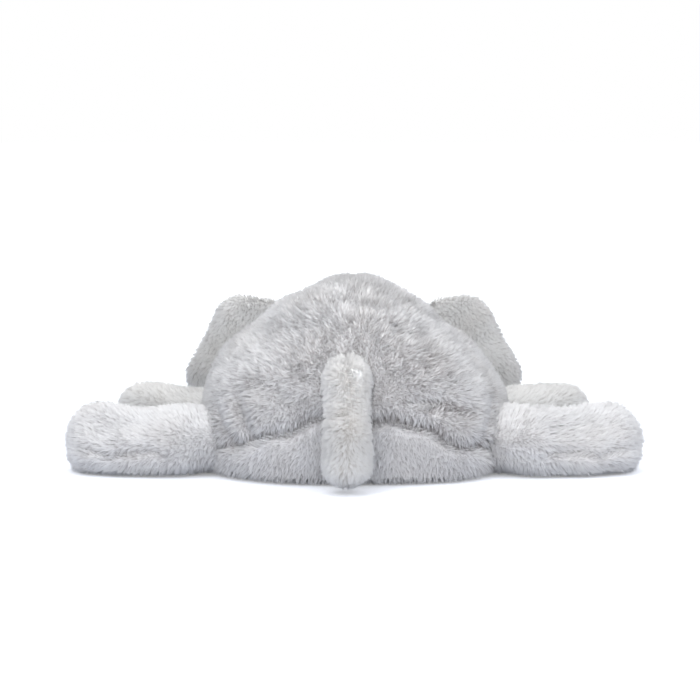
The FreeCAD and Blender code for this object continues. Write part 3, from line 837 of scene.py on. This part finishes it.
def build_head():
    path, radii, cut_root, cut_bend = head_and_trunk()
    every = np.arange(len(path))
    sides = 144
    grid = tube_grid(path, radii, sides)
    x, z = grid[..., 0], grid[..., 2]
    on_head = (1 - smooth(every, cut_root - 26, cut_root))[:, None]
    cheek = bump(z - 34, 20) * smooth(np.abs(x), 18, 40) * on_head
    grid[..., 0] += np.sign(x) * 3.0 * cheek
    grid[..., 2] += 2.5 * bump(x, 30) * smooth(z, 70, 92) * on_head
    grid = flatten(grid, LYING, 2.5)
    flat = grid.reshape(-1, 3)
    ring = np.repeat(every, sides)
    half = cad_box("head_gusset")[1][0]
    chin = cad_box("chin_panel")[1][2]
    on_trunk = smooth(ring, cut_root - 22, cut_root - 6)
    folds = np.sin((ring - cut_root) / 7.5 * math.pi) * smooth(ring, cut_root + 4, cut_root + 16)
    folds *= 1 - smooth(ring, len(path) - 16, len(path) - 6)
    sewn = bump(flat[:, 0] - half, 3) + bump(flat[:, 0] + half, 3)
    groove = 1.5 * (1 - on_trunk) * sewn * smooth(flat[:, 2], 24, 40) + 0.3 * folds
    eyes = eye_places()
    for eye in eyes:
        groove -= 2.4 * bump(np.linalg.norm(flat - eye, axis=1), 10)
    swell = (1.2 * noise(flat, 26, 21) + 0.6 * noise(flat, 11, 22)) * (1 - 0.6 * on_trunk)
    grid = push_out(grid, swell - groove)
    seams = (lambda p: p[..., 0] - half, lambda p: p[..., 0] + half, lambda p: p[..., 2] - chin)
    head = make_form(grid[: cut_root + 1], seams)
    face = unit(path[cut_root] - HEAD_AT)

    def over_eyes(points):
        return np.any([np.linalg.norm(points - eye, axis=1) < EYE_CLEAR for eye in eyes], axis=0)

    def groom(roots, facing):
        """Combed back from the trunk, and lying away from the eyes."""
        flow = np.broadcast_to(-face, roots.shape) - UP * 0.5
        near = np.zeros(len(roots))
        for eye in eyes:
            gap = np.linalg.norm(roots - eye, axis=1)
            close = bump(gap, 14)
            flow = flow + (roots - eye) / np.maximum(gap, 1)[:, None] * (close * 3)[:, None]
            near = np.maximum(near, close)
        low = smooth(-roots[:, 2], -22, -4)
        # Painted shade: darker low down and round the eyes.
        return flow, dict(dark=0.12 * low + 0.10 * near, length=PILE * (1 - 0.35 * near))

    label = head["label"]
    inner_left, inner_right, top = (label & 1) == 0, (label & 2) > 0, (label & 4) > 0
    for name, node, keep, count in (
        ("head_left_fur", "head_left_panel", top & ~inner_left, 24000),
        ("head_right_fur", "head_right_panel", top & ~inner_right, 24000),
        ("head_gusset_fur", "head_gusset", top & inner_left & inner_right, 16000),
        ("chin_fur", "chin_panel", ~top, 9000),
    ):
        obj = fur_piece(
            name, node, head, keep, GREY_FUR, groom, count=count, cull=over_eyes, lean=0.62, pull=0.5
        )
        blend(obj)

    def groom_trunk(roots, facing):
        flow = np.broadcast_to(np.array([0.0, 1.0, -0.25]), roots.shape)
        # Painted shade: darker low down, near the floor.
        return flow, dict(dark=0.12 * smooth(-roots[:, 2], -12, -2))

    quarter = sides // 4
    upper = (np.arange(sides) >= quarter) & (np.arange(sides) < 3 * quarter)
    root, bend = pivot("nose_swing"), pivot("nose_curl")
    for part, rows, carrier, joint in (
        ("nose_base", slice(cut_root, cut_bend + 1), "head", root),
        ("nose_tip", slice(cut_bend, len(path)), "nose_base", bend),
    ):
        piece = grid[rows]
        form = make_form(piece, label=np.broadcast_to(upper, (len(piece) - 1, sides)).astype(int))
        for half_name, value in (("upper", 1), ("under", 0)):
            obj = fur_piece(
                f"{part}_{half_name}_fur", f"{part}_{half_name}_panel", form, form["label"] == value,
                GREY_FUR, groom_trunk, count=6000, length=PILE * 0.8, lean=0.75, pull=0.5,
            )
            blend(obj)
    ball = CROWN - INSET - 9
    inner = capsule_grid(HEAD_AT + [0, 6, 2], HEAD_AT + [0, -6, -2], ball, ball, 48, 64)
    filling("head", flatten(inner, INSIDE))
    for part, a, b, r in (
        ("nose_base", root + [0, -4, 0], bend + [0, 22, 0], 10.0),
        ("nose_tip", bend + [0, -6, 0], path[-1] + [0, 16, 0], 8.0),
    ):
        filling(part, capsule_grid(a, b, r, r - 0.5, 30, 36))
    low, high = cad_box("neck_wad")
    wad("neck_ball", NECK, (high[0] - low[0]) / 2, "neck_wad", "neck")


# ---------------------------------------------------------------- ears

EAR_CORNERS = (  # middle of each rounded corner, outward and up from the ear's hinge, and its radius
    (25.0, 28.0, 24.0),
    (50.0, -12.0, 20.0),
    (5.0, 37.0, 12.0),
    (5.0, -16.0, 16.0),
)
EAR_MIDDLE = np.array([28.0, 9.0])
EAR_SWEEP = math.radians(8)  # how far back the ears stand
EAR_SIDES = 120


def ear_outline(count):
    """The ear's edge as distances from its middle in evenly spread directions."""
    turn = np.linspace(0, 2 * math.pi, 720, endpoint=False)
    circle = np.stack([np.cos(turn), np.sin(turn)], 1)
    cloud = np.concatenate([np.array([x, z]) + r * circle for x, z, r in EAR_CORNERS]) - EAR_MIDDLE
    ways = np.linspace(0, 2 * math.pi, count, endpoint=False)
    support = (circle @ cloud.T).max(1)
    facing = np.cos(ways[:, None] - turn[None])
    reach = np.where(facing > 0.05, support[None] / np.maximum(facing, 0.05), 1e9).min(1)
    return ways, reach


def ear_grid(side, sign, inset, half, square, first, rings):
    """A pad that far inside the ear's edge, bowed as the ear hangs, and the way out along the ear.

    half is half its thickness, square how squarely its edge is rounded, and first its first ring's
    share of the way from the ear's middle to its edge.
    """
    out = np.array([sign * math.cos(EAR_SWEEP), math.sin(EAR_SWEEP), 0.0])
    back = np.array([-math.sin(EAR_SWEEP) * sign, math.cos(EAR_SWEEP), 0.0])
    ways, reach = ear_outline(EAR_SIDES)
    t = np.linspace(first, 1, rings)
    share = np.concatenate([t, t[::-1][1:]])[:, None]
    face = np.sign(np.arange(rings - 1, -rings, -1.0))[:, None]
    thick = half * np.sqrt(np.clip(1 - share**square, 0, 1)) * face
    across = EAR_MIDDLE[0] + share * (reach - inset) * np.cos(ways)
    rise = EAR_MIDDLE[1] + share * (reach - inset) * np.sin(ways)
    bow = 5.0 * smooth(across, 18, 70) - 3.5 * bump(rise + 4, 26) * smooth(across, 0, 30)
    at = across[..., None] * out + rise[..., None] * UP + (thick - bow)[..., None] * back
    grid = pivot(f"{side}_ear_flap") + at
    return grid[:, ::-1] if sign > 0 else grid, out


def build_eye(side, sign):
    """A domed bead on its stem, turned round the axis on which it is set into the head."""
    level = math.cos(EYE_RISE)
    way = np.array(
        [sign * level * math.sin(EYE_BEARING), -level * math.cos(EYE_BEARING), math.sin(EYE_RISE)]
    )
    seat, radius, stem, length = CROWN - 1.5, 6.0, 2.0, 9.0
    t = np.linspace(0, math.pi / 2, 16)
    rim = np.array([TINY, 1.2, stem - 0.2, stem, stem, stem + 0.5, radius - 0.9, radius - 0.25])
    at = np.array([-length, -length, -length + 0.1, -length + 0.4, -0.9, -0.35, -0.2, -0.05])
    radii = np.concatenate([rim, radius * np.cos(t)[:-1], [TINY]])
    out = np.concatenate([at, radius * np.sin(t)[:-1] + 0.15, [radius + 0.15]])
    across = unit(np.cross(way, UP))
    above = np.cross(across, way)
    turn = np.linspace(0, 2 * math.pi, 40, endpoint=False)[None, :, None]
    ring = -np.cos(turn) * above + np.sin(turn) * across
    grid = HEAD_AT + (seat + out)[:, None, None] * way + radii[:, None, None] * ring
    inner_piece(f"{side}_bead", grid, f"{side}_eye", BEAD, "head", lumps=0.0)


def build_ear(side, sign):
    rings = 26
    grid, out = ear_grid(side, sign, 5.0, 5.2, 3.2, 0.006, rings)
    flat = grid.reshape(-1, 3)
    grid = push_out(grid, 0.9 * noise(flat, 22, 41) + 0.4 * noise(flat, 9, 42))
    at_back = np.arange(grid.shape[0] - 1)[:, None] < rings - 1
    cells = np.broadcast_to(at_back, (grid.shape[0] - 1, EAR_SIDES))
    form = make_form(grid, label=cells.astype(int))

    def groom(roots, facing):
        flow = np.broadcast_to(out * 0.6 - UP, roots.shape)
        # Painted shade: darker towards the ear's lower part.
        return flow, dict(dark=0.10 * smooth(-roots[:, 2], -40, -16))

    for name, label in (("back", 1), ("front", 0)):
        obj = fur_piece(
            f"{side}_ear_{name}_fur", f"{side}_ear_{name}_panel", form, form["label"] == label,
            EAR_FUR, groom, count=19000, slot=f"ear_{name}_fur",
            length=PILE * 0.8, lean=0.7, pull=0.5,
        )
        blend(obj)
    ear = f"{side}_ear"
    grid, _ = ear_grid(side, sign, 10.0, 2.4, 4, 0.01, 14)
    inner_piece(f"{ear}_wadding", grid, f"{ear}_batting", FILLING, ear)


# ---------------------------------------------------------------- tail

TAIL_RADIUS = 11.4  # of its cloth
TAIL_ASIDE = 4.5  # how far it hangs to the elephant's left


def build_tail():
    """One tube of pale pile, sewn on at the rump and hanging to the floor."""
    end = cad_box("tail_tip_cover")[0][2] + 1.5
    tip = np.array([0.0, TAIL_BEND[1] + 1.0, end + 4])
    root = np.array([0.0, RUMP - 26, TAIL_ROOT[2] - 3])
    path = smooth_path([root, TAIL_ROOT + [0, -3, -4], TAIL_BEND, tip], 1.0, 10)
    s = np.arange(len(path)) * 1.0
    radii = round_ends(TAIL_RADIUS + 0.5 * np.sin(s / 11), s, 6, 10)
    path = path + np.array([TAIL_ASIDE, 0, 0])
    grid = tube_grid(path, radii, 96, np.array([-1.0, 0.0, 0.0]))
    flat = grid.reshape(-1, 3)
    grid = push_out(grid, 0.7 * noise(flat, 14, 51) + 0.4 * noise(flat, 7, 52))
    cut = int(np.argmin(np.abs(path[:, 2] - TAIL_BEND[2] - 9)))

    def groom(roots, facing):
        """The pile parts along the tail's lower middle and lies out to both sides there, and the
        parting is darkened with painted shade.
        """
        off = roots[:, 0] - TAIL_ASIDE
        parted = smooth(-roots[:, 2], -56, -30) * smooth(roots[:, 1], 112, 124)
        flow = np.broadcast_to(np.array([0.0, 0.0, -1.0]), roots.shape)
        flow = flow + np.array([1.0, 0, 0]) * (np.sign(off) * 0.15 * parted)[:, None]
        # Painted shade along the parting on the tail's lower middle.
        return flow, dict(dark=0.26 * bump(off - 1.0, 5.5) * parted)

    at_rump = np.array([0.0, RUMP - 6, TAIL_ROOT[2] + 3])
    for part, rows, carrier, a, b in (
        ("tail_base", slice(0, cut + 1), "body", at_rump, TAIL_ROOT + [0, 8, -14]),
        ("tail_tip", slice(cut, len(path)), "tail_base", path[cut], TAIL_BEND + [0, 0, -8]),
    ):
        form = make_form(grid[rows])
        whole = np.ones(len(form["triangles"]), bool)
        obj = fur_piece(
            f"{part}_fur", f"{part}_cover", form, whole, TAIL_FUR, groom,
            count=12000, slot="tail_fur", length=PILE * 0.88, lean=0.6, pull=0.5,
        )
        blend(obj)
    base_end = TAIL_BEND - unit(TAIL_BEND - TAIL_ROOT) * 18
    for part, a, b in (("tail_base", TAIL_ROOT, base_end), ("tail_tip", TAIL_BEND, tip + [0, 0, 8])):
        filling(part, capsule_grid(a, b, 6.0, 6.0, 26, 30))


# ---------------------------------------------------------------- set


def build_set():
    scene = bpy.context.scene
    scene.view_settings.view_transform = "Standard"
    floor_mesh = bpy.data.meshes.new("floor")
    half = 6.0  # of the floor's side, in metres
    corners = [(-half, -half, 0), (half, -half, 0), (half, half, 0), (-half, half, 0)]
    floor_mesh.from_pydata(corners, [], [(0, 1, 2, 3)])
    floor = bpy.data.objects.new("floor", floor_mesh)
    scene.collection.objects.link(floor)
    made, tree, shader = node_material("floor")
    shader.inputs["Base Color"].default_value = (0.80, 0.83, 0.90, 1)
    shader.inputs["Roughness"].default_value = 1.0
    shader.inputs["Specular IOR Level"].default_value = 0.0
    shader.inputs["Emission Color"].default_value = (1, 1, 1, 1)
    place = tree.nodes.new("ShaderNodeTexCoord")
    far = tree.nodes.new("ShaderNodeVectorMath")
    far.operation = "LENGTH"
    tree.links.new(place.outputs["Object"], far.inputs[0])
    glow = tree.nodes.new("ShaderNodeMapRange")
    for socket, value in (("From Min", 0.25), ("From Max", 1.1), ("To Min", 0.28), ("To Max", 0.75)):
        glow.inputs[socket].default_value = value
    tree.links.new(far.outputs["Value"], glow.inputs["Value"])
    seen = tree.nodes.new("ShaderNodeMath")
    seen.operation = "MULTIPLY"
    tree.links.new(glow.outputs["Result"], seen.inputs[0])
    tree.links.new(backdrop_share(tree), seen.inputs[1])
    tree.links.new(seen.outputs[0], shader.inputs["Emission Strength"])
    floor_mesh.materials.append(made)

    world = bpy.data.worlds.new("studio")
    scene.world = world
    world.use_nodes = True
    tree = world.node_tree
    sky = tree.nodes["Background"]
    sky.inputs["Color"].default_value = (0.94, 0.96, 1.0, 1)
    sky.inputs["Strength"].default_value = 0.56
    white = tree.nodes.new("ShaderNodeBackground")
    white.inputs["Color"].default_value = (1, 1, 1, 1)
    white.inputs["Strength"].default_value = 1.0
    both = tree.nodes.new("ShaderNodeMixShader")
    tree.links.new(backdrop_share(tree), both.inputs[0])
    tree.links.new(sky.outputs[0], both.inputs[1])
    tree.links.new(white.outputs[0], both.inputs[2])
    tree.links.new(both.outputs[0], tree.nodes["World Output"].inputs["Surface"])

    for name, at, size, power in (
        ("key", (0.9, 1.3, 1.3), 1.2, 12.5),
        ("right", (-1.2, 1.2, 1.0), 1.2, 10.5),
        ("rear", (0.1, 2.1, 0.7), 1.0, 9.0),
        ("top", (0.1, -0.1, 2.0), 1.6, 16.0),
        ("front", (-0.9, -1.5, 1.0), 1.2, 10.0),
        ("brow", (1.1, -1.4, 1.2), 1.2, 8.0),
    ):
        lamp = bpy.data.lights.new(name, "AREA")
        lamp.shape = "DISK"
        lamp.size = size
        lamp.energy = power
        obj = bpy.data.objects.new(name, lamp)
        obj.location = at
        obj.rotation_euler = (-obj.location).to_track_quat("-Z", "Y").to_euler()
        scene.collection.objects.link(obj)

    camera = bpy.data.cameras.new("camera")
    camera.lens = 138.6
    camera.sensor_width = 36.0
    camera.clip_end = 50
    obj = bpy.data.objects.new("camera", camera)
    obj.location = (0.0027, 1.813, 0.282)
    obj.rotation_euler = Euler((math.radians(90 - 6.45), 0, math.radians(180)))
    scene.collection.objects.link(obj)
    scene.camera = obj


def backdrop_share(tree):
    """1 for rays from the camera and for reflections and refractions, and otherwise 0."""
    path = tree.nodes.new("ShaderNodeLightPath")
    total = path.outputs["Is Camera Ray"]
    for other in ("Is Glossy Ray", "Is Transmission Ray"):
        node = tree.nodes.new("ShaderNodeMath")
        node.operation = "MAXIMUM"
        tree.links.new(total, node.inputs[0])
        tree.links.new(path.outputs[other], node.inputs[1])
        total = node.outputs[0]
    return total


build_set()
build_body()
for leg in LEGS:
    build_leg(leg)
build_head()
for side, sign in (("left", 1), ("right", -1)):
    build_ear(side, sign)
    build_eye(side, sign)
    for slot in frame["nodes"][f"{side}_eye_washer"].material_slots:
        slot.material = NYLON
build_tail()
